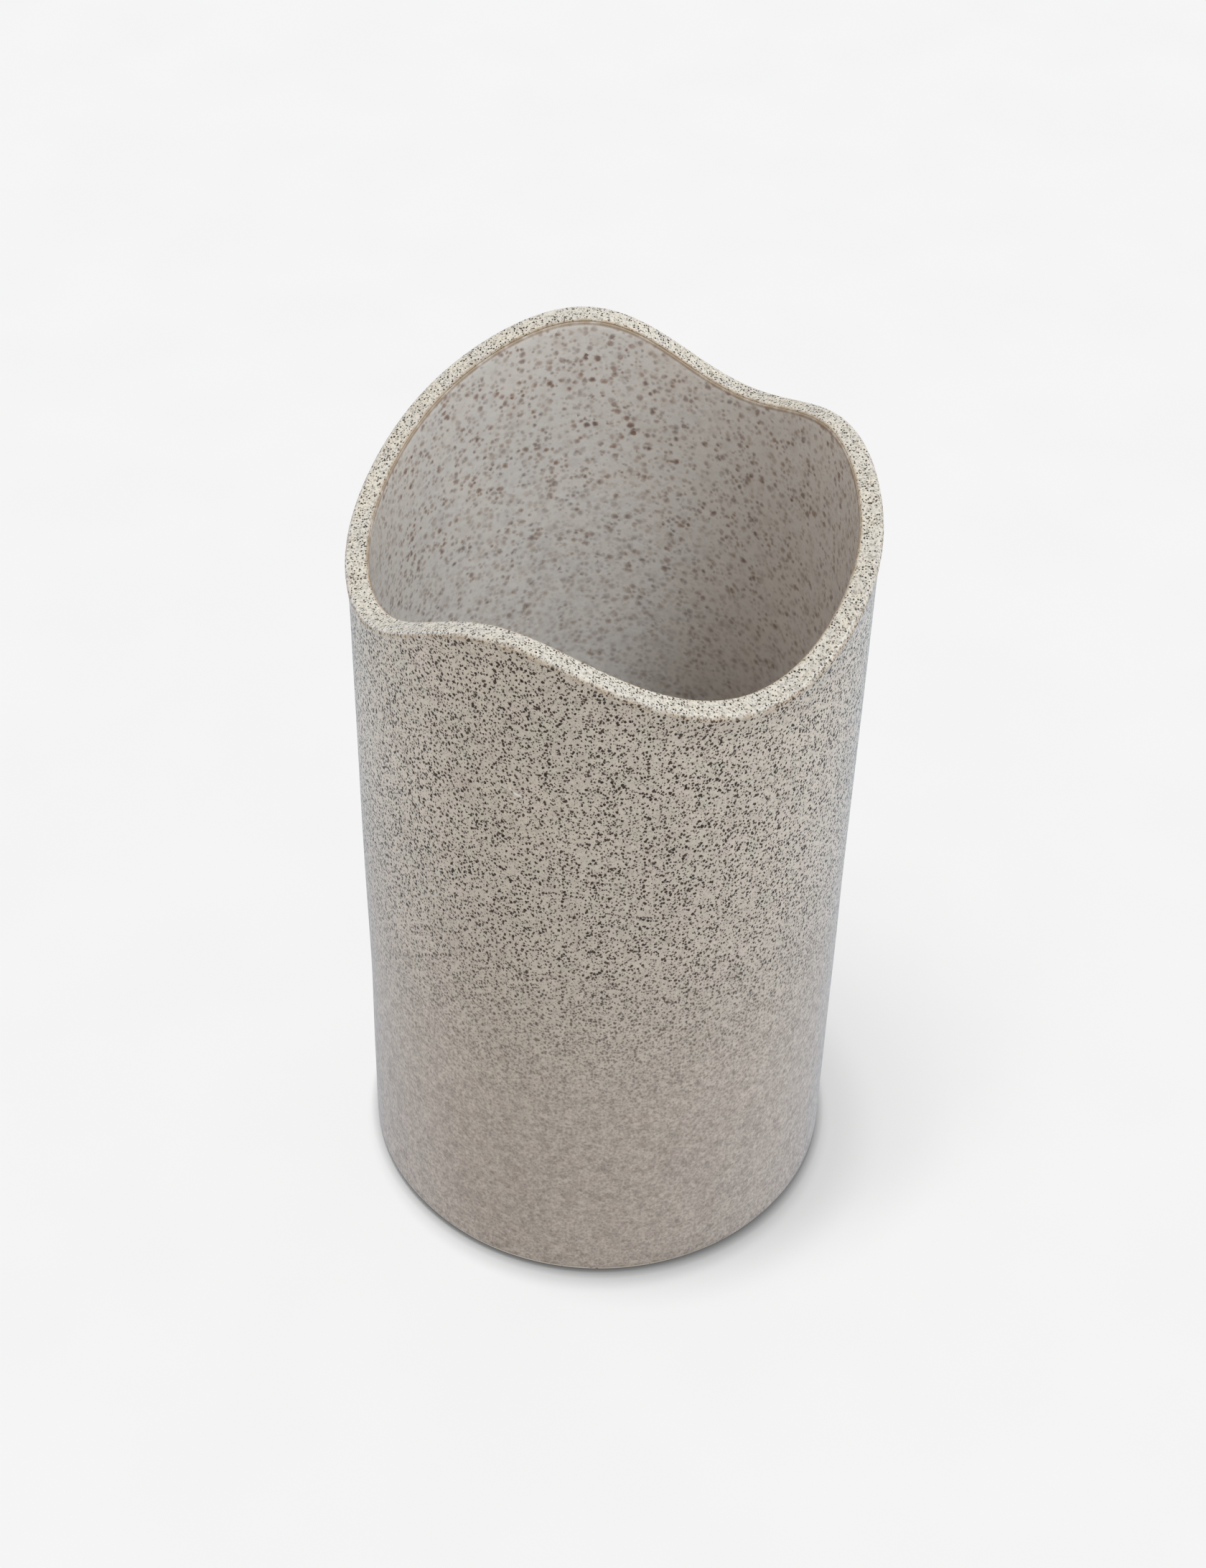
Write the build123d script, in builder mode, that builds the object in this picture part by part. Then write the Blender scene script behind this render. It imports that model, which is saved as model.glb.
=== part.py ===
from build123d import *
from math import cos, radians, sin
import os

os.makedirs("parts", exist_ok=True)

# Stoneware cylinder vase with a hand-cut wavy mouth.
# Millimetres, +Z up, origin on the table under the middle of the foot.

# Body
outside_radius = 63.5       # over the outer glaze
glaze_thick = 0.35          # both glaze coats
clay_thick = 4.6            # bare wall
clay_radius = outside_radius - glaze_thick
bore_radius = clay_radius - clay_thick

# Floor and foot
base_thick = 6.5            # clay disc the wall stands on
foot_round = 1.8            # rounded outer edge of the foot
foot_ring_width = 9.0       # flat ring that touches the table
recess_depth = 1.0          # hollow inside the foot ring
recess_round = 0.6

# Coil worked into the inside corner between floor and wall
coil_size = 6.0

# Mouth: the lip height is a mean height plus waves that run round the axis.
# Each wave is (number of crests, height of a crest in mm, phase in degrees).
lip_mean_height = 211.1
lip_waves = [
    (1, 7.5, 83),
    (2, 6.0, 158),
    (3, 7.9, 11),
    (4, 1.4, -19),
    (5, 2.1, 141),
    (6, 0.5, 171),
    (7, 0.7, -120),
]
lip_flattening = 0.08       # share by which the waves are lower at the bore
lip_outer_round = 1.5       # softened outer edge, over the glaze
lip_inner_round = 0.2       # crisp inner edge, over the glaze
lip_point_step = 5          # degrees between the points that carry the lip curve

# Ends of the glaze coats
outer_glaze_foot_gap = 2.0  # bare clay above the table, past the rounded foot
inner_glaze_drop = 0.5      # the inner coat stops this far under the lip

# Walls and coats are made this tall and then cut to the lip
blank_top = 240.0
trim_margin = 3.0           # the cut reaches this far past both faces of the wall
trim_height = 60.0


def lip_height(angle, radius):
    """Height of the lip surface at an angle (degrees) and a radius."""
    flattening = lip_flattening * (clay_radius - radius) / clay_thick
    waves = 0
    for crests, size, phase in lip_waves:
        waves += size * cos(radians(crests * angle - phase))
    return lip_mean_height + (1 - flattening) * waves


def lip_edge(radius, drop):
    """Closed curve that follows the lip at one radius, lowered by a drop."""
    points = []
    for angle in range(0, 360, lip_point_step):
        x = radius * cos(radians(angle))
        y = radius * sin(radians(angle))
        points.append((x, y, lip_height(angle, radius) - drop))
    return Edge.make_spline(points, periodic=True)


def lip_face(drop):
    """Wavy ring-shaped face, wider than the wall, that cuts the mouth."""
    inner_edge = lip_edge(bore_radius - trim_margin, drop)
    outer_edge = lip_edge(outside_radius + trim_margin, drop)
    return Face.make_surface_from_curves(inner_edge, outer_edge)


# 1. Base slab: round clay disc with a rounded foot and a shallow hollow underneath
with BuildPart() as base_slab:
    with BuildSketch(Plane.XY):
        Circle(clay_radius)
    extrude(amount=base_thick)
    foot_edge = base_slab.faces().sort_by(Axis.Z)[0].edges()
    fillet(foot_edge, radius=foot_round)
    with BuildSketch(Plane.XY):
        Circle(clay_radius - foot_round - foot_ring_width)
    extrude(amount=recess_depth, mode=Mode.SUBTRACT)
    recess_edge = base_slab.faces().sort_by(Axis.Z)[0].edges().sort_by(SortBy.LENGTH)[0]
    fillet(recess_edge, radius=recess_round)
base_slab.part.label = "base_slab"

# 2. Wall: clay cylinder that stands on the slab, its mouth cut to the wavy lip
with BuildPart() as wall:
    with BuildSketch(Plane.XY.offset(base_thick)):
        Circle(clay_radius)
        Circle(bore_radius, mode=Mode.SUBTRACT)
    extrude(amount=blank_top - base_thick)
    extrude(lip_face(glaze_thick), amount=trim_height, dir=(0, 0, 1), mode=Mode.SUBTRACT)
    fillet(wall.edges().sort_by(SortBy.LENGTH)[-1], radius=lip_outer_round - glaze_thick)
wall.part.label = "wall"

# 3. Corner coil: roll of clay smoothed into a hollow curve between floor and wall
with BuildPart() as corner_coil:
    with BuildSketch(Plane.XZ):
        with BuildLine():
            coil_centre = (bore_radius - coil_size, base_thick + coil_size)
            coil_floor = (bore_radius - coil_size, base_thick)
            coil_wall = (bore_radius, base_thick + coil_size)
            CenterArc(coil_centre, coil_size, -90, 90)
            Polyline(coil_floor, (bore_radius, base_thick), coil_wall)
        make_face()
    revolve(axis=Axis.Z)
corner_coil.part.label = "corner_coil"

# 4. Inner glaze: one thin coat over the floor, the coil and the inside of the wall
with BuildPart() as inner_glaze:
    with BuildSketch(Plane.XZ):
        with BuildLine():
            CenterArc(coil_centre, coil_size, -90, 90)
            Polyline(coil_wall, (bore_radius, blank_top), (bore_radius - glaze_thick, blank_top),
                     (bore_radius - glaze_thick, base_thick + coil_size))
            CenterArc(coil_centre, coil_size - glaze_thick, -90, 90)
            Polyline((bore_radius - coil_size, base_thick + glaze_thick),
                     (0, base_thick + glaze_thick), (0, base_thick), coil_floor)
        make_face()
    revolve(axis=Axis.Z)
    extrude(lip_face(inner_glaze_drop), amount=trim_height, dir=(0, 0, 1), mode=Mode.SUBTRACT)
inner_glaze.part.label = "inner_glaze"

# 5. Outer glaze: thin satin coat that runs from just above the foot up over the lip
with BuildPart() as outer_glaze:
    with BuildSketch(Plane.XY.offset(outer_glaze_foot_gap)):
        Circle(outside_radius)
        Circle(bore_radius, mode=Mode.SUBTRACT)
    extrude(amount=blank_top - outer_glaze_foot_gap)
    extrude(lip_face(0), amount=trim_height, dir=(0, 0, 1), mode=Mode.SUBTRACT)
    lip = outer_glaze.faces().sort_by(Axis.Z)[-1]
    fillet(lip.edges().sort_by(SortBy.LENGTH)[-2], radius=lip_inner_round)
    fillet(outer_glaze.edges().sort_by(SortBy.LENGTH)[-1], radius=lip_outer_round)
    add(wall.part, mode=Mode.SUBTRACT)
    add(base_slab.part, mode=Mode.SUBTRACT)
outer_glaze.part.label = "outer_glaze"

export_step(base_slab.part, "parts/base_slab.step")
export_step(wall.part, "parts/wall.step")
export_step(corner_coil.part, "parts/corner_coil.step")
export_step(inner_glaze.part, "parts/inner_glaze.step")
export_step(outer_glaze.part, "parts/outer_glaze.step")
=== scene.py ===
import math

import bpy
import numpy as np
from mathutils import Matrix, Vector


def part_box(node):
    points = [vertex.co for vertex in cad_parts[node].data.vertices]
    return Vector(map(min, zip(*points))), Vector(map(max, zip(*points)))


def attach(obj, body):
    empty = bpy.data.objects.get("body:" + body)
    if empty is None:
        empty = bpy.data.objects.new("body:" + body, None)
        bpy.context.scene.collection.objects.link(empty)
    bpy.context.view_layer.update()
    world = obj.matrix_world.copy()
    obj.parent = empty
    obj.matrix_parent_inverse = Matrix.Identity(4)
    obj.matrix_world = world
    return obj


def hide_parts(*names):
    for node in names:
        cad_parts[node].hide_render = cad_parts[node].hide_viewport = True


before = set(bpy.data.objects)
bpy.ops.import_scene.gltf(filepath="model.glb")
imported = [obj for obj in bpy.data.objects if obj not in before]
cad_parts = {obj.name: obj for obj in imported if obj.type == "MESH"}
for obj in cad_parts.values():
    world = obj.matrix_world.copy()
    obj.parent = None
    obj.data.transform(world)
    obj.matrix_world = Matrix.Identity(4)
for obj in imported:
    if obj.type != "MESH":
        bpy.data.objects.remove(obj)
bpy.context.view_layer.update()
scene = bpy.context.scene

# Lengths are in mm and angles in radians, unless a comment says otherwise. Colours are linear.
MM = 0.001              # in metres, Blender's unit
TURN = 2 * math.pi
QUARTER = math.pi / 2
BODY = "root"
WHITE = (1.0, 1.0, 1.0)

# ---------------------------------------------------------------- sizes from the CAD frame
glaze_low, glaze_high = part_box("outer_glaze")
liner_low, liner_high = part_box("inner_glaze")
coil_low, coil_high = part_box("corner_coil")
_, slab_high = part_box("base_slab")
wall_low, wall_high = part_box("wall")

OUTSIDE_R = glaze_high[0] / MM
CLAY_R = wall_high[0] / MM
GLAZE_THICK = OUTSIDE_R - CLAY_R
BORE_R = liner_high[0] / MM
LINER_R = BORE_R - GLAZE_THICK
FLOOR_Z = liner_low[2] / MM
SLAB_TOP = slab_high[2] / MM
COIL = (coil_high[2] - coil_low[2]) / MM
COAT_FOOT = glaze_low[2] / MM
WALL_FOOT = wall_low[2] / MM

# Sizes that the boxes don't give, the same as in the CAD.
LIP_ROUND = 1.5         # rounding of the lip's outer edge
LINER_DROP = 0.5        # how far below the lip the liner glaze ends
FOOT_ROUND = 1.8        # rounding of the foot
FOOT_RING = 9.0         # width of the flat ring that the vase rests on
RECESS = 1.0            # depth of the hollow inside that ring
RECESS_ROUND = 0.6      # rounding where the ring meets the hollow

# The lip: (crests round the mouth, height of a crest, phase in degrees).
LIP_MEAN = 211.1
LIP_WAVES = (
    (1, 7.5, 83),
    (2, 6.0, 158),
    (3, 7.9, 11),
    (4, 1.4, -19),
    (5, 2.1, 141),
    (6, 0.5, 171),
    (7, 0.7, -120),
)
LIP_FLATTENING = 0.08   # share of the waves that is gone at the bore

# ---------------------------------------------------------------- what the hand-made surface adds
# A slight wander of the wall: (waves round, waves up WANDER_HEIGHT, size, phase).
WANDER = (
    (2, 0.6, 0.06, 0.4),
    (3, 1.3, 0.04, 2.1),
    (5, 2.2, 0.03, 4.0),
    (7, 3.7, 0.02, 1.2),
    (11, 5.1, 0.015, 5.3),
)
WANDER_HEIGHT = 230.0

# Broad soft dents and swellings: (angle in degrees, height, width in degrees, reach up and down,
# size, which is negative for a dent).
DENTS = (
    (-175, 66, 35, 30, -0.40),
    (-170, 4, 40, 12, 0.20),
    (62, 120, 40, 36, -0.30),
    (105, 42, 30, 24, 0.22),
    (-15, 92, 28, 40, -0.12),
)
INNER_ROUND = 0.35      # rounding of the lip's inner edge, which is 0.2 in the CAD
BEAD = 0.55             # how far the lip's outer edge stands out
BEAD_REACH = 5.0        # how far down the wall that goes

# Gaps that keep hidden faces of two pieces from lying in each other.
LINER_GAP = 0.01        # liner to the clay
INNER_EDGE_GAP = 0.02   # end of the outer coat to the bore, at the lip's inner edge
CORE_GAP = 0.03         # clay wall to the coats on its two sides
HIDDEN_GAP = 0.05       # the other hidden faces

# The outer coat's bottom edge: (out from the outside, up from the edge).
COAT_EDGE = ((-0.33, 0.02), (-0.16, 0.0), (-0.05, 0.10), (0.0, 0.32))
COAT_EDGE_TOP = COAT_EDGE[-1][1]
# The liner's rolled top edge: (radius, up from its end on the clay, mark).
LINER_EDGE = (
    (BORE_R - LINER_GAP, 0.12, 0.0),
    (BORE_R - 0.16, 0.05, 0.1),
    (LINER_R + 0.06, -0.15, 0.3),
)
LINER_EDGE_DROP = 0.4   # how far below that end the plain liner begins

# Each point has a mark that the glazes read: its depth below the lip, or one of these.
FAR_BELOW = 200.0       # where the lip's colours don't reach
PLAIN = 0.0             # on bare clay, which doesn't read it

# A small nick in the glaze on the front, at this angle in degrees and this height. Its parts are
# placed from its middle: x runs round the outside to the right, and y runs up.
NICK_ANGLE = -109.85
NICK_Z = 175.3
DENT_DEPTH = 0.30
DENT_HALF_WIDTH = 0.42
DENT_HALF_HEIGHT = 0.55
CRESCENT_RELIEF = 0.26
CRESCENT_START = -0.3   # x where it begins to curl down
CRESCENT_LOW = -0.55    # y of the end that it curls down to
CRESCENT_RISE = 1.6     # how much higher its start is
CRESCENT_CURL = 0.7
CRESCENT_THICK = 0.40
CRESCENT_MIDDLE = 0.9
CRESCENT_REACH = 1.6
DRAG_RELIEF = 0.12
DRAG_X = -1.6           # a point on the drag line
DRAG_Y = 0.8
DRAG_SLOPE = -0.386
DRAG_THICK = 0.26
DRAG_MIDDLE = -2.7
DRAG_REACH = 1.4
SMEAR_MIDDLE = 0.1      # the patch where the glaze is smeared over its specks
SMEAR_HALF_WIDTH = 2.3
SMEAR_HALF_HEIGHT = 1.5
SKIN = 0.6              # points up to this far inside the clay's face can belong to the outside

# How fine the meshes are.
COLUMNS = 420
OUTSIDE_ROWS = 130
LINER_ROWS = 120
NICK_HALF_WIDTH = 4.6   # half the sides of the finer mesh round the nick
NICK_HALF_HEIGHT = 2.6
NICK_STEP = 0.22
LINER_MIDDLE_R = 2.0    # innermost ring of the liner's floor, with a fan of faces inside it
SLAB_MIDDLE_R = 1.5     # the same for the slab


def fading(offset, reach, power=2):
    """1 where the offset is 0, and nearly 0 beyond the reach. A power of 4 has a flatter top."""
    return np.exp(-((offset / reach) ** power))


def lip_height(theta, radius):
    """Height of the top of the lip."""
    waves = sum(
        size * np.cos(crests * theta - math.radians(phase))
        for crests, size, phase in LIP_WAVES
    )
    inward = (CLAY_R - radius) / (CLAY_R - BORE_R)
    return LIP_MEAN + (1 - LIP_FLATTENING * inward) * waves


def wander(theta, z):
    """How far the wall stands out from a true cylinder."""
    waves = sum(
        size * np.sin(around * theta + up * TURN * z / WANDER_HEIGHT + phase)
        for around, up, size, phase in WANDER
    )
    dents = sum(
        size * np.exp((np.cos(theta - math.radians(angle)) - 1) / math.radians(width) ** 2)
        * fading(z - height, reach)
        for angle, height, width, reach, size in DENTS
    )
    return waves + dents


def across_nick(theta):
    """Distance round the outside from the middle of the nick."""
    turn = (theta - math.radians(NICK_ANGLE) + math.pi) % TURN - math.pi
    return turn * OUTSIDE_R


def nick(theta, z):
    """Relief of the nick: a small dent, a raised crescent that curls round it and a faint drag line."""
    x = across_nick(theta)
    y = z - NICK_Z
    dent = -DENT_DEPTH * fading(x, DENT_HALF_WIDTH) * fading(y, DENT_HALF_HEIGHT)
    past_start = np.maximum(x - CRESCENT_START, 0.0)
    crescent_y = CRESCENT_LOW + CRESCENT_RISE * np.exp(-past_start / CRESCENT_CURL)
    crescent = CRESCENT_RELIEF * fading(y - crescent_y, CRESCENT_THICK)
    crescent = crescent * fading(x - CRESCENT_MIDDLE, CRESCENT_REACH, power=4)
    drag_y = DRAG_Y + DRAG_SLOPE * (x - DRAG_X)
    drag = DRAG_RELIEF * fading(y - drag_y, DRAG_THICK)
    drag = drag * fading(x - DRAG_MIDDLE, DRAG_REACH, power=4)
    return dent + crescent + drag


def smeared(theta, z):
    """1 in the middle of the patch round the nick where the glaze is smeared over its specks."""
    sideways = fading(across_nick(theta) - SMEAR_MIDDLE, SMEAR_HALF_WIDTH)
    return sideways * fading(z - NICK_Z, SMEAR_HALF_HEIGHT)


# ---------------------------------------------------------------- meshes
def spread(first, last, count):
    """That many evenly spaced numbers from first to last, both included."""
    return [first + (last - first) * i / (count - 1) for i in range(count)]


def column_angles():
    """Even columns, with a band of closer ones through the nick."""
    middle = math.radians(NICK_ANGLE) % TURN
    reach = NICK_HALF_WIDTH / OUTSIDE_R
    even = np.arange(COLUMNS) * TURN / COLUMNS
    fine = middle + np.arange(-reach, reach, NICK_STEP / OUTSIDE_R)
    return np.sort(np.concatenate([even[np.abs(even - middle) > reach], fine]))


thetas = column_angles()


def revolved(name, rows, closed):
    """Mesh from rows of (radius, height, mark), each one number or one for each column angle.
    The rows run with the solid on their left. A profile that isn't closed starts and ends at the
    axis. The marks are stored on the points as depth_mm."""
    count = len(thetas)
    columns = range(count)
    rings = []
    marks = []
    for radius, height, mark in rows:
        radius = np.broadcast_to(radius, count)
        height = np.broadcast_to(height, count)
        rings.append(np.stack([radius * np.cos(thetas), radius * np.sin(thetas), height], 1))
        marks.append(np.broadcast_to(mark, count))
    verts = [tuple(point) for point in np.concatenate(rings) * MM]
    last = len(rows) - 1
    pairs = [(i, i + 1) for i in range(last)]
    if closed:
        pairs.append((last, 0))
    faces = []
    for a, b in pairs:
        for j in columns:
            k = (j + 1) % count
            faces.append((a * count + j, a * count + k, b * count + k, b * count + j))
    if not closed:
        for end in (0, last):
            centre = len(verts)
            verts.append((0.0, 0.0, float(np.mean(rings[end][:, 2])) * MM))
            marks.append([float(np.mean(marks[end]))])
            for j in columns:
                here = end * count + j
                beside = end * count + (j + 1) % count
                faces.append((centre, beside, here) if end == 0 else (centre, here, beside))
    mesh = bpy.data.meshes.new(name)
    mesh.from_pydata(verts, [], faces)
    mesh.validate()
    store(mesh, "depth_mm", np.concatenate(marks))
    mesh.polygons.foreach_set("use_smooth", [True] * len(mesh.polygons))
    mesh.update()
    return placed(bpy.data.objects.new(name, mesh))


def store(mesh, name, values):
    """Keep a number on each point, for a material to read."""
    layer = mesh.attributes.new(name, "FLOAT", "POINT")
    layer.data.foreach_set("value", np.asarray(values, np.float32))


def placed(obj):
    """Put the object in the scene."""
    scene.collection.objects.link(obj)
    return obj


def outer_glaze_rows():
    rows = []
    lip = lip_height(thetas, OUTSIDE_R - LIP_ROUND)
    shoulder = lip - LIP_ROUND
    for out, up in COAT_EDGE:
        z = COAT_FOOT + up
        rows.append((OUTSIDE_R + out + wander(thetas, z), z, FAR_BELOW))
    # outside, with closer rows through the nick
    nick_shoulder = float(np.interp(math.radians(NICK_ANGLE) % TURN, thetas, shoulder))
    nick_part = (NICK_Z - COAT_FOOT) / (nick_shoulder - COAT_FOOT)
    reach = NICK_HALF_HEIGHT / (nick_shoulder - COAT_FOOT)
    parts = [part for part in spread(0.0, 1.0, OUTSIDE_ROWS)[1:] if abs(part - nick_part) > reach]
    parts += spread(nick_part - reach, nick_part + reach, round(2 * NICK_HALF_HEIGHT / NICK_STEP))
    for part in sorted(parts):
        z = COAT_FOOT + COAT_EDGE_TOP + part * (shoulder - COAT_FOOT - COAT_EDGE_TOP)
        bead = BEAD * fading(lip - z, BEAD_REACH)
        rows.append((OUTSIDE_R + bead + wander(thetas, z) + nick(thetas, z), z, lip - z))
    # rounded outer edge of the lip
    edge_r = OUTSIDE_R + BEAD - LIP_ROUND
    for turn in spread(0.0, QUARTER, 9)[1:]:
        z = shoulder + LIP_ROUND * math.sin(turn)
        radius = edge_r + LIP_ROUND * math.cos(turn)
        rows.append((radius + wander(thetas, z), z, LIP_ROUND * (1 - math.sin(turn))))
    # across the lip: from here inwards the mark is minus the distance from the rounded edge
    inner_r = BORE_R + INNER_ROUND
    for radius in spread(edge_r, inner_r, 12)[1:]:
        z = lip_height(thetas, radius)
        rows.append((radius + wander(thetas, z), z, radius - (OUTSIDE_R - LIP_ROUND)))
    # crisp inner edge
    for turn in spread(0.0, QUARTER, 5)[1:]:
        z = lip_height(thetas, inner_r) - INNER_ROUND * (1 - math.cos(turn))
        radius = inner_r - INNER_ROUND * math.sin(turn)
        rows.append((radius + wander(thetas, z), z, radius - (OUTSIDE_R - LIP_ROUND)))
    # hidden side against the clay: over the lip, and down the wall. Its colour never shows.
    z = lip_height(thetas, BORE_R) - LINER_DROP
    rows.append((BORE_R + INNER_EDGE_GAP + wander(thetas, z), z, -4.0))
    for radius in spread(BORE_R + 0.4, CLAY_R - LIP_ROUND, 4):
        z = lip_height(thetas, radius) - GLAZE_THICK
        rows.append((radius + wander(thetas, z), z, -3.0))
    z = lip_height(thetas, CLAY_R) - GLAZE_THICK - 0.4
    rows.append((CLAY_R - 0.35 + wander(thetas, z), z, 1.0))
    for part in spread(0.0, 1.0, 9):
        z = (shoulder - GLAZE_THICK) * (1 - part) + (COAT_FOOT + HIDDEN_GAP) * part
        rows.append((CLAY_R + wander(thetas, z), z, 2.0))
    return rows


def mark_nick(obj):
    """Store the nick's relief and the smeared glaze round it on the points of the outside."""
    points = np.empty(len(obj.data.vertices) * 3)
    obj.data.vertices.foreach_get("co", points)
    x, y, z = points.reshape(-1, 3).T / MM
    outside = np.hypot(x, y) > CLAY_R - SKIN
    theta = np.arctan2(y, x)
    store(obj.data, "nick_mm", np.where(outside, nick(theta, z), 0.0))
    store(obj.data, "nick_smear", np.where(outside, smeared(theta, z), 0.0))


outer = revolved("outer_glaze_coat", outer_glaze_rows(), closed=True)
mark_nick(outer)
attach(outer, BODY)
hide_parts("outer_glaze")


def inner_glaze_rows():
    rows = []
    top = lip_height(thetas, BORE_R) - LINER_DROP
    cove_z = FLOOR_Z + COIL
    cove_r = BORE_R - COIL
    # hidden side against the clay: floor, coil, wall
    for radius in spread(LINER_MIDDLE_R, cove_r, 5):
        rows.append((radius, FLOOR_Z + LINER_GAP, FAR_BELOW))
    for turn in spread(QUARTER, 0.0, 7)[1:]:
        z = cove_z - COIL * math.sin(turn)
        rows.append((cove_r + COIL * math.cos(turn) - LINER_GAP, z, FAR_BELOW))
    for part in spread(0.0, 1.0, 9)[1:]:
        z = cove_z * (1 - part) + top * part
        rows.append((BORE_R - LINER_GAP + wander(thetas, z), z, FAR_BELOW))
    for radius, up, mark in LINER_EDGE:
        rows.append((radius + wander(thetas, top), top + up, mark))
    # the side that shows: wall, cove, floor
    for part in spread(0.0, 1.0, LINER_ROWS):
        z = (top - LINER_EDGE_DROP) * (1 - part) + cove_z * part
        rows.append((LINER_R + wander(thetas, z), z, top - z))
    small = COIL - GLAZE_THICK
    for turn in spread(0.0, QUARTER, 9)[1:]:
        z = cove_z - small * math.sin(turn)
        out = (small + wander(thetas, z)) * math.cos(turn)
        rows.append((cove_r + out, z, FAR_BELOW))
    for radius in spread(cove_r, LINER_MIDDLE_R, 20)[1:]:
        rows.append((radius, FLOOR_Z + GLAZE_THICK, FAR_BELOW))
    return rows


inner = revolved("inner_glaze_coat", inner_glaze_rows(), closed=False)
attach(inner, BODY)
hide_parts("inner_glaze")


def wall_rows():
    """The clay core, hidden between the two coats."""
    rows = []
    shoulder = lip_height(thetas, CLAY_R) - LIP_ROUND
    face_r = CLAY_R - CORE_GAP
    for part in spread(0.0, 1.0, 30):
        z = WALL_FOOT * (1 - part) + shoulder * part
        rows.append((face_r + wander(thetas, z), z, PLAIN))
    small = LIP_ROUND - GLAZE_THICK
    for turn in spread(0.0, QUARTER, 6)[1:]:
        z = shoulder + small * math.sin(turn)
        rows.append((face_r - small + small * math.cos(turn) + wander(thetas, z), z, PLAIN))
    for radius in spread(CLAY_R - LIP_ROUND, BORE_R + HIDDEN_GAP, 6)[1:]:
        z = lip_height(thetas, radius) - GLAZE_THICK - HIDDEN_GAP
        rows.append((radius + wander(thetas, z), z, PLAIN))
    top = lip_height(thetas, BORE_R) - LINER_DROP - 0.1
    for part in spread(0.0, 1.0, 24):
        z = top * (1 - part) + WALL_FOOT * part
        rows.append((BORE_R + CORE_GAP + wander(thetas, z), z, PLAIN))
    return rows


core = revolved("wall_core", wall_rows(), closed=True)
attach(core, BODY)
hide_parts("wall")


def base_slab_rows():
    rows = []
    edge = CLAY_R - FOOT_ROUND
    hollow = edge - FOOT_RING
    # shallow hollow under the foot, with a small bevel and a rounded corner at its rim
    for radius in spread(SLAB_MIDDLE_R, hollow - 1.5, 24):
        rows.append((radius, RECESS, PLAIN))
    rows.append((hollow - 0.2, RECESS, PLAIN))
    rows.append((hollow, RECESS * 0.8, PLAIN))
    for turn in spread(QUARTER, 0.0, 6)[:-1]:
        radius = hollow + RECESS_ROUND * (1 - math.sin(turn))
        rows.append((radius, RECESS_ROUND * (1 - math.cos(turn)), PLAIN))
    # flat ring that the vase rests on, and its rounded outer edge
    for radius in spread(hollow + RECESS_ROUND, edge, 8):
        rows.append((radius, 0.0, PLAIN))
    round_r = FOOT_ROUND - HIDDEN_GAP
    for turn in spread(QUARTER, 0.0, 9)[1:]:
        z = FOOT_ROUND * (1 - math.sin(turn))
        rows.append((edge + (round_r + wander(thetas, z)) * math.cos(turn), z, PLAIN))
    # hidden side and top, under the wall and the liner
    for z in (SLAB_TOP * 0.6, SLAB_TOP - 0.3):
        rows.append((CLAY_R - HIDDEN_GAP + wander(thetas, z), z, PLAIN))
    for radius in (CLAY_R - HIDDEN_GAP, CLAY_R - 0.3, CLAY_R * 0.5, SLAB_MIDDLE_R):
        rows.append((radius, SLAB_TOP, PLAIN))
    return rows


slab = revolved("base_slab_disc", base_slab_rows(), closed=False)
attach(slab, BODY)
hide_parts("base_slab")


# ---------------------------------------------------------------- node helpers
HALO_REACH = 0.32       # how far a speck's faint ring reaches past it


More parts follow.
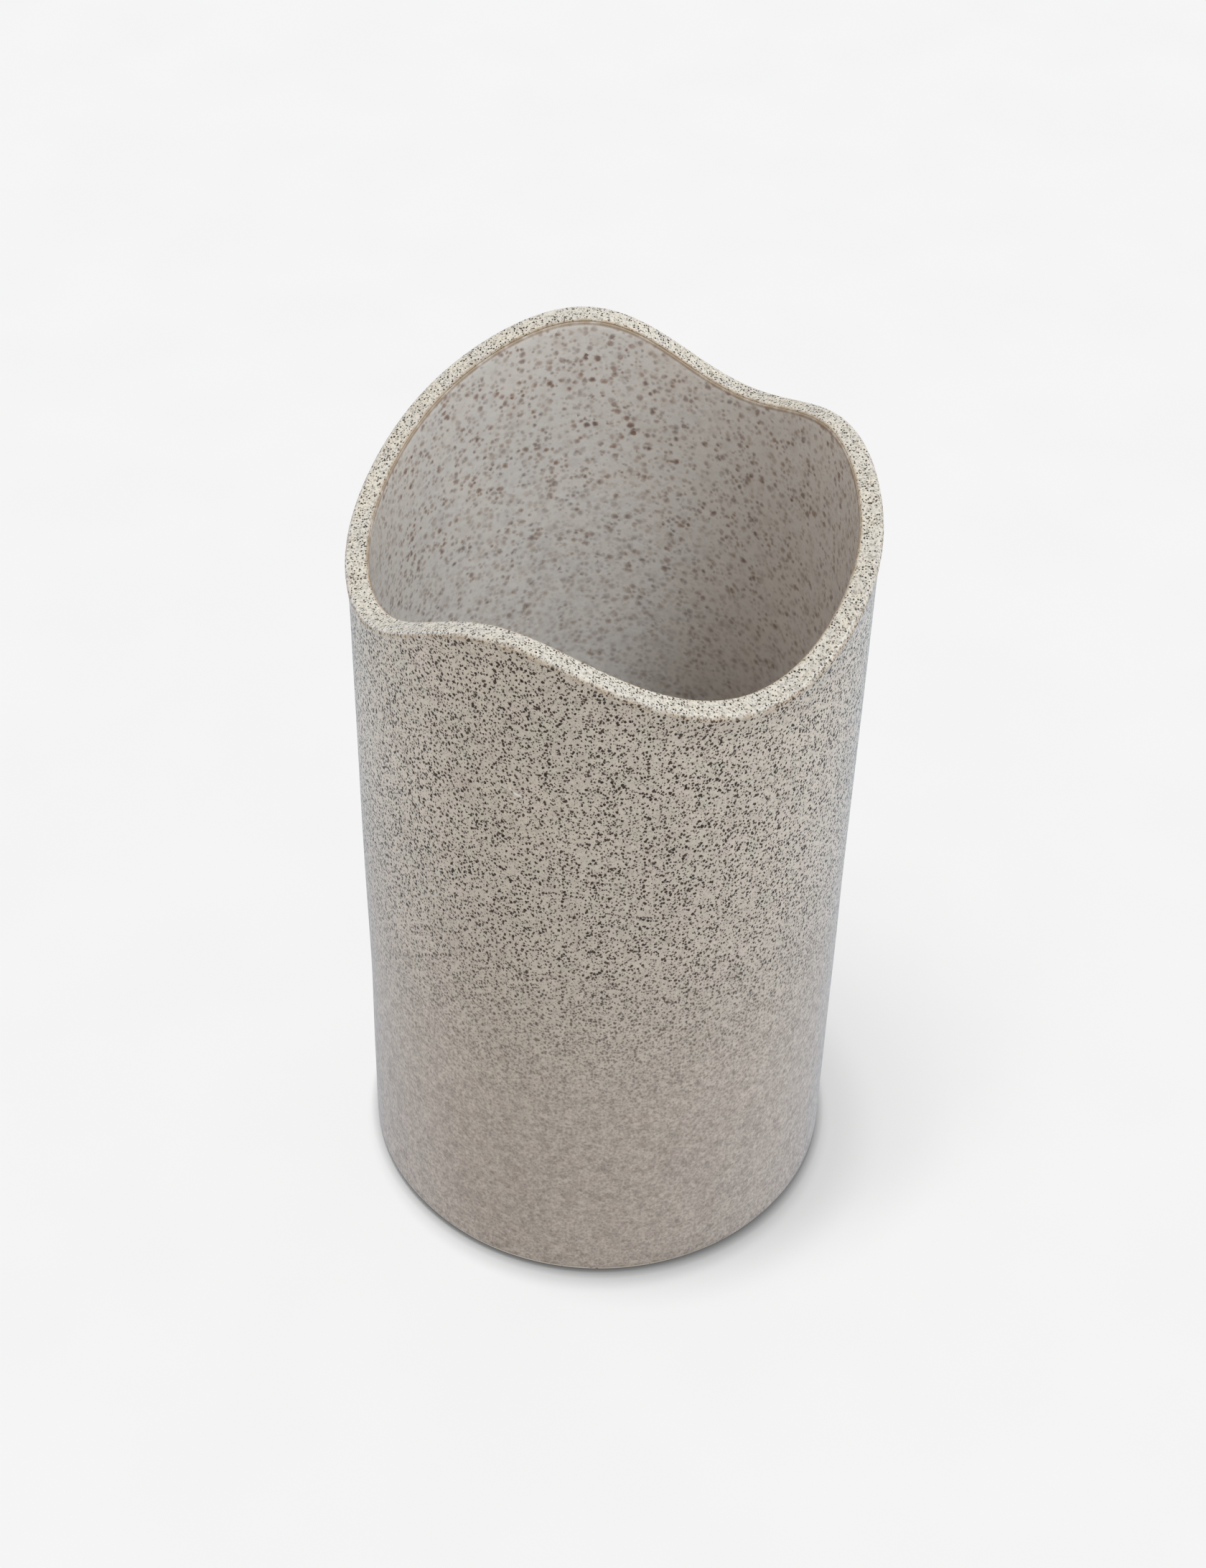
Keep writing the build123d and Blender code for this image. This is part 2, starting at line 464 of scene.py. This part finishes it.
class Material:
    """One procedural material and the ways to build its nodes. Most of them take numbers or sockets
    and give back a socket."""

    def __init__(self, name):
        self.made = bpy.data.materials.new(name)
        self.made.use_nodes = True
        self.tree = self.made.node_tree
        self.tree.nodes.clear()
        coordinate = self.node("ShaderNodeTexCoord")
        # place on the vase in mm, so spot sizes are in mm and noise scales are per mm
        self.place = self.vector("SCALE", coordinate.outputs["Object"], 1 / MM)

    def node(self, kind, inputs=None, **settings):
        made = self.tree.nodes.new(kind)
        for key, value in settings.items():
            setattr(made, key, value)
        for key, value in (inputs or {}).items():
            if isinstance(value, bpy.types.NodeSocket):
                self.tree.links.new(value, made.inputs[key])
            else:
                made.inputs[key].default_value = value
        return made

    def math(self, operation, a, b, c=None):
        inputs = {0: a, 1: b}
        if c is not None:
            inputs[2] = c
        return self.node("ShaderNodeMath", inputs, operation=operation).outputs[0]

    def times(self, a, b):
        return self.math("MULTIPLY", a, b)

    def vector(self, operation, a, b):
        second = "Scale" if operation == "SCALE" else 1
        return self.node("ShaderNodeVectorMath", {0: a, second: b}, operation=operation).outputs[0]

    def shifted(self, vector, offset):
        """The same pattern from another place, so that two patterns don't line up."""
        return self.vector("ADD", vector, offset)

    def mix(self, factor, a, b):
        """Colour a where the factor is 0 and colour b where it is 1."""
        made = self.node("ShaderNodeMix", {0: factor}, data_type="RGBA", clamp_factor=True)
        for index, colour in ((6, a), (7, b)):
            if isinstance(colour, bpy.types.NodeSocket):
                self.tree.links.new(colour, made.inputs[index])
            else:
                made.inputs[index].default_value = (*colour, 1.0)
        return made.outputs[2]

    def ramp(self, value, span, to=(0.0, 1.0)):
        """Smooth step over the span, which may run downwards, from to[0] to to[1]."""
        inputs = {"Value": value, "From Min": span[0], "From Max": span[1], "To Min": to[0], "To Max": to[1]}
        made = self.node("ShaderNodeMapRange", inputs, interpolation_type="SMOOTHSTEP", clamp=True)
        return made.outputs["Result"]

    def noise(self, vector, scale, detail=2.0, roughness=0.5, output="Fac"):
        inputs = {"Vector": vector, "Scale": scale, "Detail": detail, "Roughness": roughness}
        return self.node("ShaderNodeTexNoise", inputs).outputs[output]

    def warped(self, vector, scale, amount):
        """Vector pushed about by up to half the amount, in mm."""
        colour = self.noise(vector, scale, detail=1.0, output="Color")
        centred = self.vector("SUBTRACT", colour, (0.5, 0.5, 0.5))
        return self.vector("ADD", vector, self.vector("SCALE", centred, amount))

    def stored(self, name):
        made = self.node("ShaderNodeAttribute", attribute_name=name, attribute_type="GEOMETRY")
        return made.outputs["Fac"]

    def speckles(self, vector, cell, chance, radii, softness, weakest=0.4, blur=None, halo=0.0):
        """Mask of round spots of mixed size and strength, one try per cell. Lengths are in mm.
        Blur is extra softness, which may vary over the surface. Halo is the strength of a faint
        wider ring."""
        scaled = self.vector("SCALE", vector, 1.0 / cell)
        inputs = {"Vector": scaled, "Scale": 1.0, "Randomness": 1.0}
        cells = self.node("ShaderNodeTexVoronoi", inputs, voronoi_dimensions="3D", feature="F1")
        dice = self.node("ShaderNodeSeparateColor", {0: cells.outputs["Color"]})
        distance = self.times(cells.outputs["Distance"], cell)
        smallest, largest = radii
        radius = self.math("MULTIPLY_ADD", dice.outputs[1], largest - smallest, smallest)
        inside = self.math("SUBTRACT", radius, distance)
        low, high = -softness * 0.5, softness * 0.5
        if blur is not None:
            low = self.math("MULTIPLY_ADD", blur, -0.5, low)
            high = self.math("MULTIPLY_ADD", blur, 0.5, high)
        spot = self.ramp(inside, (low, high))
        if halo:
            spot = self.math("MAXIMUM", spot, self.ramp(inside, (-HALO_REACH, 0.0), to=(0.0, halo)))
        chosen = self.math("LESS_THAN", dice.outputs[0], chance)
        strength = self.math("MULTIPLY_ADD", dice.outputs[2], 1.0 - weakest, weakest)
        return self.times(self.times(spot, chosen), strength)

    def join(self, *masks):
        """Where any of the masks shows: 1 - product of (1 - mask)."""
        total = masks[0]
        for mask in masks[1:]:
            both = self.times(total, mask)
            total = self.math("SUBTRACT", self.math("ADD", total, mask), both)
        return total

    def finish(self, colour, roughness, relief, relief_mm, specular=0.5, sheen=0.0, coat=0.0):
        bump = self.node("ShaderNodeBump", {"Height": relief, "Strength": 1.0, "Distance": relief_mm * MM})
        inputs = {
            "Base Color": colour,
            "Roughness": roughness,
            "Sheen Weight": sheen,
            "Normal": bump.outputs[0],
            "Specular IOR Level": specular,
            "Sheen Roughness": 0.28,
            "Sheen Tint": (0.45, 0.72, 1.0, 1.0),
            "Coat Weight": coat,
            "Coat Roughness": 0.42,
        }
        shader = self.node("ShaderNodeBsdfPrincipled", inputs)
        self.node("ShaderNodeOutputMaterial", {"Surface": shader.outputs[0]})
        return self.made


# ---------------------------------------------------------------- satin speckled glaze, outside and lip
SATIN = (0.448, 0.394, 0.326)
SATIN_PALE = (0.476, 0.413, 0.340)
SATIN_GREEN = (0.444, 0.408, 0.332)
SATIN_PINK = (0.478, 0.400, 0.343)
LIP_CREAM = (0.505, 0.442, 0.348)
LIP_GREY = (0.485, 0.430, 0.352)
FOOT_BROWN_AND_PAINTED_SHADE = (0.330, 0.268, 0.238)
MOTTLE_BROWN = (0.205, 0.172, 0.142)
GRAIN_BROWN = (0.20, 0.17, 0.14)
TOAST_OUTER = (0.300, 0.205, 0.120)
TOAST_INNER = (0.27, 0.185, 0.105)
HALO_BROWN = (0.235, 0.180, 0.145)
BLOTCH_BROWN = (0.150, 0.118, 0.096)
IRON_BLACK = (0.010, 0.005, 0.002)
IRON_BROWN = (0.032, 0.018, 0.010)
NICK_PAINTED_HIGHLIGHT = (0.53, 0.495, 0.435)
NICK_PAINTED_SHADE = (0.045, 0.036, 0.036)


def satin_glaze():
    mat = Material("satin_speckled_glaze")
    place = mat.place
    below = mat.stored("depth_mm")
    height = mat.node("ShaderNodeSeparateXYZ", {0: place}).outputs[2]

    # the lip begins along a slightly uneven line
    wobble = mat.math("MULTIPLY_ADD", mat.noise(place, 0.5), 1.6, -0.8)
    edge = mat.math("ADD", below, wobble)
    on_lip = mat.ramp(edge, (1.5, 0.1))

    # glaze colour: warm grey-beige with broad soft patches
    broad = mat.noise(place, 0.035, detail=3.0)
    patches = mat.noise(mat.shifted(place, (31.0, 7.0, 13.0)), 0.16, detail=3.0)
    body = mat.mix(mat.ramp(broad, (0.35, 0.65)), SATIN, SATIN_PALE)
    body = mat.mix(mat.ramp(patches, (0.50, 0.70), to=(0.0, 0.6)), body, SATIN_GREEN)
    body = mat.mix(mat.ramp(patches, (0.46, 0.30), to=(0.0, 0.6)), body, SATIN_PINK)
    # browner towards the foot, and darker there as painted shade
    body = mat.mix(mat.ramp(height, (190.0, 5.0), to=(0.0, 0.47)), body, FOOT_BROWN_AND_PAINTED_SHADE)
    # creamier where it thins over the lip
    lip_colour = mat.mix(mat.ramp(patches, (0.40, 0.62)), LIP_CREAM, LIP_GREY)
    base = mat.mix(on_lip, body, lip_colour)
    # mottling and fine grain
    mottle = mat.noise(mat.shifted(place, (3.0, 47.0, 29.0)), 0.42, detail=4.0, roughness=0.7)
    base = mat.mix(mat.ramp(mottle, (0.34, 0.60), to=(0.18, 0.0)), base, MOTTLE_BROWN)
    fine = mat.noise(place, 1.4, detail=3.0, roughness=0.65)
    base = mat.mix(mat.ramp(fine, (0.30, 0.62), to=(0.24, 0.0)), base, GRAIN_BROWN)

    # toasted line where the coat thins over the outer edge of the lip
    thin = mat.noise(mat.shifted(place, (7.0, 5.0, 3.0)), 0.30, detail=3.0)
    edge_line = mat.times(mat.ramp(edge, (0.1, 0.9)), mat.ramp(edge, (2.2, 1.2)))
    edge_line = mat.times(edge_line, mat.ramp(thin, (0.30, 0.62), to=(0.10, 0.50)))
    base = mat.mix(edge_line, base, TOAST_OUTER)

    # faint brown halos
    halo_place = mat.shifted(mat.warped(place, 0.4, 2.0), (3.0, 17.0, 67.0))
    halo = mat.speckles(halo_place, cell=6.0, chance=0.7, radii=(0.8, 2.0), softness=2.4, weakest=0.2)
    base = mat.mix(mat.times(halo, 0.30), base, HALO_BROWN)

    # the glaze lies thicker towards the foot and veils the specks there
    veil = mat.ramp(height, (146.0, 36.0))
    blur = mat.times(veil, 0.85)
    blotch = mat.noise(mat.shifted(place, (61.0, 37.0, 11.0)), 0.36, detail=3.0, roughness=0.55)
    blotch = mat.times(mat.ramp(blotch, (0.46, 0.66), to=(0.0, 0.30)), veil)
    base = mat.mix(blotch, base, BLOTCH_BROWN)

    # dark iron speckles, slightly taller than wide and ragged
    drawn = mat.vector("MULTIPLY", place, (1.0, 1.0, 0.82))
    loose = mat.warped(mat.warped(drawn, 1.2, 0.5), 2.6, 0.26)
    clusters = mat.ramp(mat.noise(place, 0.17), (0.36, 0.60), to=(0.78, 1.0))
    small = mat.speckles(
        loose, cell=0.62, chance=0.80, radii=(0.130, 0.275), softness=0.05, weakest=0.92, blur=blur
    )
    medium = mat.speckles(
        mat.shifted(loose, (57.0, 3.0, 91.0)), cell=0.96, chance=0.90, radii=(0.195, 0.39),
        softness=0.06, weakest=0.94, blur=blur, halo=0.10
    )
    large = mat.speckles(
        mat.shifted(loose, (11.0, 43.0, 5.0)), cell=3.0, chance=0.60, radii=(0.32, 0.50),
        softness=0.14, weakest=0.95, blur=blur, halo=0.15
    )
    coarse = mat.join(mat.times(small, clusters), medium, large)
    coarse = mat.times(coarse, mat.math("SUBTRACT", 1.0, mat.times(on_lip, 0.62)))
    dust = mat.speckles(
        mat.warped(place, 2.0, 0.4), cell=0.45, chance=0.8, radii=(0.06, 0.17), softness=0.12,
        weakest=0.25
    )
    # finer specks on the lip
    lip_fine = mat.speckles(
        mat.warped(mat.shifted(place, (5.0, 71.0, 23.0)), 2.4, 0.30), cell=0.62, chance=0.72,
        radii=(0.13, 0.28), softness=0.05, weakest=0.90
    )
    iron = mat.join(coarse, mat.times(lip_fine, on_lip), mat.times(dust, 0.6))
    iron = mat.times(iron, mat.ramp(veil, (0.0, 1.0), to=(1.0, 0.46)))
    iron = mat.times(iron, mat.ramp(mat.stored("nick_smear"), (0.25, 0.80), to=(1.0, 0.25)))
    tone = mat.noise(place, 0.8, detail=1.0)
    iron_colour = mat.mix(mat.ramp(tone, (0.35, 0.65)), IRON_BLACK, IRON_BROWN)
    colour = mat.mix(iron, base, iron_colour)

    # the nick: painted highlight on its raised crescent and drag line, painted shade in its dent
    relief_mm = mat.stored("nick_mm")
    colour = mat.mix(mat.ramp(relief_mm, (0.02, 0.14), to=(0.0, 0.95)), colour, NICK_PAINTED_HIGHLIGHT)
    colour = mat.mix(mat.ramp(relief_mm, (-0.10, -0.22)), colour, NICK_PAINTED_SHADE)

    # toasted line where the coat ends at the inner edge of the lip
    run = mat.ramp(mat.noise(place, 0.35, detail=3.0), (0.30, 0.62), to=(0.25, 0.75))
    line = mat.ramp(below, (-2.80, -3.30))
    colour = mat.mix(mat.times(line, run), colour, TOAST_INNER)

    # the specks are rougher than the glaze and lie a little lower in it
    rough = mat.ramp(fine, (0.25, 0.75), to=(0.42, 0.56))
    rough = mat.math("ADD", rough, mat.times(iron, 0.10))
    grain = mat.noise(place, 0.9, detail=3.0, roughness=0.6)
    relief = mat.math("SUBTRACT", grain, mat.times(iron, 0.45))
    sheen = mat.ramp(on_lip, (0.0, 1.0), to=(0.23, 0.08))
    return mat.finish(colour, rough, relief, relief_mm=0.10, specular=0.0, sheen=sheen, coat=0.40)


# ---------------------------------------------------------------- liner glaze, inside
LINER = (0.568, 0.522, 0.468)
LINER_PALE = (0.598, 0.546, 0.488)
LINER_COOL = (0.560, 0.528, 0.490)
LINER_PAINTED_SHADE = (0.34, 0.31, 0.28)
LINER_GRAIN = (0.30, 0.26, 0.225)
LINER_HALO = (0.30, 0.235, 0.195)
SPOT_DARK = (0.132, 0.076, 0.056)
SPOT_TAN = (0.205, 0.118, 0.076)
LINE_TAN = (0.205, 0.145, 0.092)


def liner_glaze():
    mat = Material("liner_glaze")
    place = mat.place
    below = mat.stored("depth_mm")

    # glaze colour: pale grey with cooler patches, a little darker towards the lip as painted shade, fine
    # grain
    broad = mat.noise(place, 0.03, detail=3.0)
    base = mat.mix(mat.ramp(broad, (0.35, 0.65)), LINER, LINER_PALE)
    cool = mat.noise(mat.shifted(place, (13.0, 5.0, 71.0)), 0.11, detail=3.0, roughness=0.6)
    base = mat.mix(mat.ramp(cool, (0.42, 0.64), to=(0.0, 0.5)), base, LINER_COOL)
    # painted shade, darker towards the lip
    base = mat.mix(mat.ramp(below, (75.0, 8.0), to=(0.0, 0.28)), base, LINER_PAINTED_SHADE)
    fine = mat.noise(place, 0.9, detail=3.0, roughness=0.6)
    base = mat.mix(mat.ramp(fine, (0.35, 0.70), to=(0.0, 0.12)), base, LINER_GRAIN)

    # brown spots: the glaze pools deeper inside, where they spread and fade
    loose = mat.warped(place, 0.8, 0.8)
    deep = mat.ramp(below, (20.0, 110.0))
    blur = mat.times(deep, 0.50)
    big = mat.speckles(
        loose, cell=2.25, chance=0.92, radii=(0.42, 0.88), softness=0.90, weakest=0.55, blur=blur
    )
    mid = mat.speckles(
        mat.shifted(loose, (17.0, 29.0, 3.0)), cell=1.4, chance=0.80, radii=(0.28, 0.58),
        softness=0.75, blur=blur
    )
    faint = mat.speckles(
        mat.shifted(loose, (77.0, 9.0, 33.0)), cell=4.4, chance=0.8, radii=(1.0, 2.0), softness=2.0,
        weakest=0.3
    )
    clusters = mat.noise(place, 0.16, detail=3.0, roughness=0.6)
    spots = mat.times(mat.join(big, mid), mat.ramp(clusters, (0.36, 0.60), to=(0.45, 1.0)))
    spots = mat.times(spots, mat.ramp(deep, (0.0, 1.0), to=(0.98, 0.74)))
    tone = mat.noise(place, 0.3, detail=1.0)
    spot_colour = mat.mix(mat.ramp(tone, (0.38, 0.62)), SPOT_DARK, SPOT_TAN)
    colour = mat.mix(mat.times(faint, 0.25), base, LINER_HALO)
    colour = mat.mix(spots, colour, spot_colour)

    # tan line along the top edge
    run = mat.ramp(mat.noise(place, 0.35, detail=3.0), (0.30, 0.62), to=(0.55, 0.95))
    line = mat.ramp(below, (1.10, 0.30))
    colour = mat.mix(mat.times(line, run), colour, LINE_TAN)

    # glossier than the satin glaze, and dry along the top edge
    rough = mat.ramp(fine, (0.25, 0.75), to=(0.26, 0.36))
    rough = mat.math("ADD", rough, mat.times(line, 0.45))
    relief = mat.math("SUBTRACT", mat.noise(place, 0.35), mat.times(spots, 0.15))
    return mat.finish(colour, rough, relief, relief_mm=0.12)


# ---------------------------------------------------------------- bare clay: foot, wall core and coil
CLAY = (0.545, 0.480, 0.385)
CLAY_PALE = (0.590, 0.535, 0.445)
GROG_PALE = (0.72, 0.68, 0.60)
GROG_DARK = (0.060, 0.046, 0.038)


def bare_clay():
    mat = Material("bare_stoneware_clay")
    place = mat.place
    patches = mat.noise(place, 0.08, detail=3.0)
    colour = mat.mix(mat.ramp(patches, (0.35, 0.65)), CLAY, CLAY_PALE)
    pale = mat.speckles(
        mat.shifted(place, (41.0, 19.0, 83.0)), cell=1.1, chance=0.5, radii=(0.10, 0.26), softness=0.10
    )
    colour = mat.mix(mat.times(pale, 0.5), colour, GROG_PALE)
    grog = mat.speckles(
        mat.warped(place, 1.6, 0.5), cell=0.8, chance=0.6, radii=(0.08, 0.24), softness=0.08
    )
    iron = mat.speckles(
        mat.shifted(mat.warped(place, 1.0, 0.8), (9.0, 61.0, 27.0)), cell=1.9, chance=0.7,
        radii=(0.18, 0.42), softness=0.12, weakest=0.6
    )
    colour = mat.mix(mat.join(grog, iron), colour, GROG_DARK)
    fine = mat.noise(place, 2.2, detail=3.0, roughness=0.7)
    rough = mat.ramp(fine, (0.25, 0.75), to=(0.72, 0.88))
    relief = mat.math("SUBTRACT", fine, mat.times(grog, 0.3))
    return mat.finish(colour, rough, relief, relief_mm=0.10, specular=0.3)


satin = satin_glaze()
liner = liner_glaze()
clay = bare_clay()
outer.data.materials.append(satin)
inner.data.materials.append(liner)
slab.data.materials.append(clay)
core.data.materials.append(clay)
for material_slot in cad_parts["corner_coil"].material_slots:
    material_slot.material = clay


# ---------------------------------------------------------------- floor and light
PAPER = 0.913           # radiance of the pale studio, floor and backdrop alike
FLOOR_ALBEDO = 0.10
FLOOR_GRAIN = 0.01      # share by which the floor's own colour varies
PAINTED_CONTACT_REACH = 0.003   # metres over which the painted contact shadow darkens the floor beside the foot
FLOOR_RADIUS = 12.0     # metres
FLOOR_DROP = 0.0001     # metres that the floor lies below the foot
LIGHT_DISTANCE = 2.0    # metres from the vase, which makes no difference to such a light

# Lights: (name, azimuth, elevation and spread in degrees, what it adds to a white surface that
# faces it, colour).
INSIDE_LIGHTS = (
    ("key_inside", -45, 62, 20, 1.04, (0.90, 1.00, 1.10)),
    ("fill_inside", 200, 42, 30, 0.06, (1.12, 1.00, 0.92)),
)
OUTSIDE_LIGHTS = (
    ("key_outside", -20, 62, 20, 0.86, (0.84, 0.97, 1.14)),
    ("side", -150, 10, 30, 0.20, (0.90, 1.00, 1.12)),
    ("rim_left", 152, 10, 20, 0.46, (0.70, 0.89, 1.20)),
    ("rim_right", 18, 10, 20, 0.30, (0.70, 0.89, 1.20)),
)
# Lights on the floor: the same, but with what each adds to a white surface that lies flat, and white.
FLOOR_LIGHTS = (
    ("floor_contact", 94, 89.1, 1.8, 2.40),
    ("floor_steep", 154, 86.5, 4, 1.15),
    ("floor_high", 178, 82, 6, 0.55),
    ("floor_middle", 195, 77, 7, 0.35),
    ("floor_low", 208, 70, 8, 0.20),
)


def floor_material():
    """A pale floor that reflects little and glows by the rest, so that it is as light as the backdrop. Where
    a light is blocked, what is missing is the shadow. Beside the foot its glow is dimmed, a painted contact
    shadow."""
    mat = Material("studio_floor")
    low = FLOOR_ALBEDO * (1 - FLOOR_GRAIN)
    high = FLOOR_ALBEDO * (1 + FLOOR_GRAIN)
    grain = mat.ramp(mat.noise(mat.place, 0.02), (0.3, 0.7))
    diffuse = mat.node("ShaderNodeBsdfDiffuse", {"Color": mat.mix(grain, (low,) * 3, (high,) * 3)})
    # painted contact shadow: ambient occlusion dims the glow close to the foot
    painted_contact_shadow = mat.node("ShaderNodeAmbientOcclusion", {"Distance": PAINTED_CONTACT_REACH}, samples=16)
    lit = PAPER + sum(light[-1] for light in FLOOR_LIGHTS)
    strength = mat.times(painted_contact_shadow.outputs["AO"], PAPER - FLOOR_ALBEDO * lit)
    glow = mat.node("ShaderNodeEmission", {"Color": (*WHITE, 1.0), "Strength": strength})
    both = mat.node("ShaderNodeAddShader", {0: diffuse.outputs[0], 1: glow.outputs[0]})
    mat.node("ShaderNodeOutputMaterial", {"Surface": both.outputs[0]})
    return mat.made


def disc(name, radius, count=96):
    """Flat disc, with its radius in metres."""
    verts = [(0.0, 0.0, 0.0)]
    for i in range(count):
        angle = TURN * i / count
        verts.append((radius * math.cos(angle), radius * math.sin(angle), 0.0))
    faces = [(0, 1 + i, 1 + (i + 1) % count) for i in range(count)]
    mesh = bpy.data.meshes.new(name)
    mesh.from_pydata(verts, [], faces)
    return placed(bpy.data.objects.new(name, mesh))


floor = disc("studio_floor", FLOOR_RADIUS)
floor.data.materials.append(floor_material())
floor.location.z = -FLOOR_DROP

world = bpy.data.worlds.new("studio")
scene.world = world
world.use_nodes = True
background = world.node_tree.nodes["Background"]
background.inputs["Color"].default_value = (*WHITE, 1.0)
background.inputs["Strength"].default_value = PAPER


def receivers(name, objects):
    """The only objects that a light reaches."""
    group = bpy.data.collections.new(name)
    for obj in objects:
        group.objects.link(obj)
    return group


def toward(azimuth, elevation):
    """Unit vector for angles in degrees."""
    az = math.radians(azimuth)
    el = math.radians(elevation)
    return Vector((math.cos(az) * math.cos(el), math.sin(az) * math.cos(el), math.sin(el)))


def far_light(group, name, azimuth, elevation, spread_deg, power, colour):
    """Soft directional light from that side, on that group only."""
    data = bpy.data.lights.new(name, "SUN")
    data.energy = power * math.pi
    data.angle = math.radians(spread_deg)
    data.color = colour
    obj = placed(bpy.data.objects.new(name, data))
    side = toward(azimuth, elevation)
    obj.location = side * LIGHT_DISTANCE
    obj.rotation_euler = side.to_track_quat("Z", "Y").to_euler()
    obj.light_linking.receiver_collection = group


inside_group = receivers("lit_inside", [inner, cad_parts["corner_coil"]])
outside_group = receivers("lit_outside", [outer, core, slab])
floor_group = receivers("lit_floor", [floor])
for light in INSIDE_LIGHTS:
    far_light(inside_group, *light)
for light in OUTSIDE_LIGHTS:
    far_light(outside_group, *light)
for name, azimuth, elevation, spread_deg, flat_power in FLOOR_LIGHTS:
    power = flat_power / math.sin(math.radians(elevation))
    far_light(floor_group, name, azimuth, elevation, spread_deg, power, WHITE)

# ---------------------------------------------------------------- camera at the photograph's angle
CAMERA_PLACE = Vector((0.0, -0.5030, 0.5900))       # metres
CAMERA_AIM = Vector((-0.0008, 0.0, 0.12325))        # metres
CAMERA_ROLL = math.radians(1.47)
LENS = 60.74
SENSOR = 36.0

camera_data = bpy.data.cameras.new("camera")
camera_data.sensor_width = SENSOR
camera_data.sensor_fit = "AUTO"
camera_data.lens = LENS
camera_data.clip_start = 0.01       # metres
camera_data.clip_end = 100.0        # metres
camera = placed(bpy.data.objects.new("camera", camera_data))
look = (CAMERA_AIM - CAMERA_PLACE).to_track_quat("-Z", "Y").to_matrix().to_4x4()
roll = Matrix.Rotation(CAMERA_ROLL, 4, "Z")
camera.matrix_world = Matrix.Translation(CAMERA_PLACE) @ look @ roll
scene.camera = camera
scene.view_settings.view_transform = "Standard"
